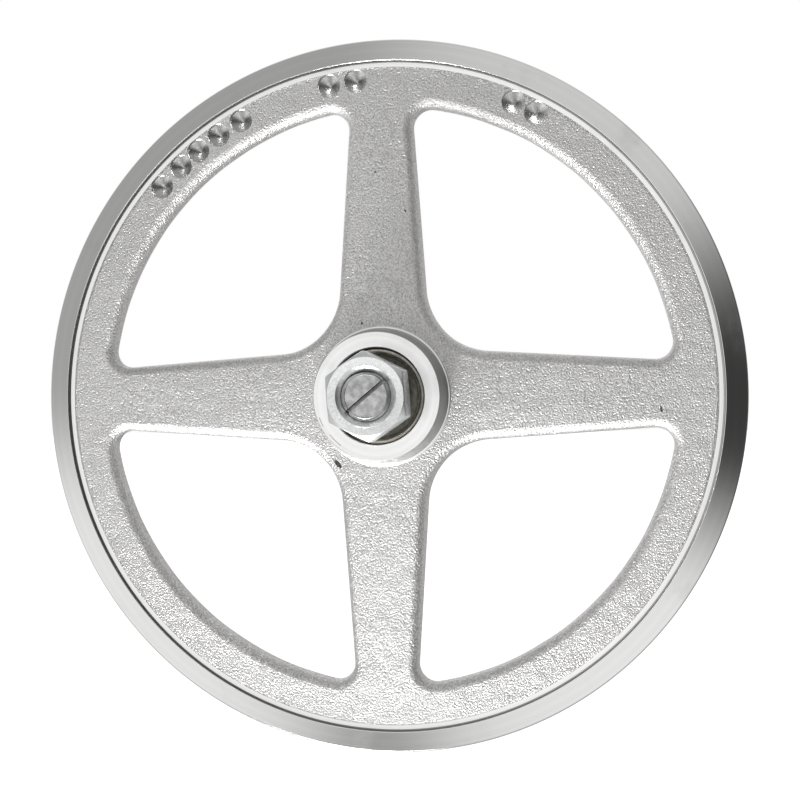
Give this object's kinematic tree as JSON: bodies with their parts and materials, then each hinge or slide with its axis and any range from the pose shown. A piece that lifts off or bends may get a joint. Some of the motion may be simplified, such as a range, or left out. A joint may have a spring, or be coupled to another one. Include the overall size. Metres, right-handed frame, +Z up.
{
  "type": "v belt pulley",
  "caption": "Cast idler pulley with open spokes and a V-grooved rim, turning on two sealed ball bearings on a slotted stub shaft held by a jam nut.",
  "frame": {"origin": "on the wheel's axis, in the middle plane of the rim", "axes": "+Y along the wheel's axis, from the slotted front end to the mounting stud; +Z up along one spoke; +X along the next spoke"},
  "size_m": [0.3556, 0.096, 0.3556],
  "materials": {
    "cast_alloy": "sand-cast texture on spokes and web, turned smooth on the rim band and hub faces",
    "bearing_steel": "ground",
    "ball_steel": "polished",
    "turned_steel": "turned",
    "plated_steel": "bright plated",
    "seal_rubber": "matte black rubber",
    "cage_nylon": "natural moulded nylon"
  },
  "bodies": {
    "shaft_assembly": {"stub_shaft": "turned_steel", "jam_nut": "plated_steel", "lock_washer": "plated_steel", "clamping_sleeve": "turned_steel", "bearing_spacer": "turned_steel", "front_bearing_inner_ring": "bearing_steel", "rear_bearing_inner_ring": "bearing_steel"},
    "wheel": {"wheel_casting": "cast_alloy", "front_bearing_outer_ring": "bearing_steel", "rear_bearing_outer_ring": "bearing_steel", "front_outboard_seal": "seal_rubber", "front_inboard_seal": "seal_rubber", "rear_outboard_seal": "seal_rubber", "rear_inboard_seal": "seal_rubber"},
    "front_ball_set": {"front_ball_cage": "cage_nylon", "front_ball_01": "ball_steel", "front_ball_02": "ball_steel", "front_ball_03": "ball_steel", "front_ball_04": "ball_steel", "front_ball_05": "ball_steel", "front_ball_06": "ball_steel", "front_ball_07": "ball_steel", "front_ball_08": "ball_steel", "front_ball_09": "ball_steel", "front_ball_10": "ball_steel"},
    "rear_ball_set": {"rear_ball_cage": "cage_nylon", "rear_ball_01": "ball_steel", "rear_ball_02": "ball_steel", "rear_ball_03": "ball_steel", "rear_ball_04": "ball_steel", "rear_ball_05": "ball_steel", "rear_ball_06": "ball_steel", "rear_ball_07": "ball_steel", "rear_ball_08": "ball_steel", "rear_ball_09": "ball_steel", "rear_ball_10": "ball_steel"}
  },
  "joints": [
    {"name": "wheel_spin", "type": "hinge", "parent": "shaft_assembly", "child": "wheel", "pos_m": [0, 0, 0], "axis": [0, 1, 0], "continuous": true},
    {"name": "front_ball_set_orbit", "type": "hinge", "parent": "shaft_assembly", "child": "front_ball_set", "pos_m": [0, -0.0148, 0], "axis": [0, 1, 0], "continuous": true},
    {"name": "rear_ball_set_orbit", "type": "hinge", "parent": "shaft_assembly", "child": "rear_ball_set", "pos_m": [0, 0.013, 0], "axis": [0, 1, 0], "continuous": true}
  ],
  "couplings": [
    {"joint": "front_ball_set_orbit", "follows": "wheel_spin", "ratio": 0.5972},
    {"joint": "rear_ball_set_orbit", "follows": "wheel_spin", "ratio": 0.5972}
  ]
}
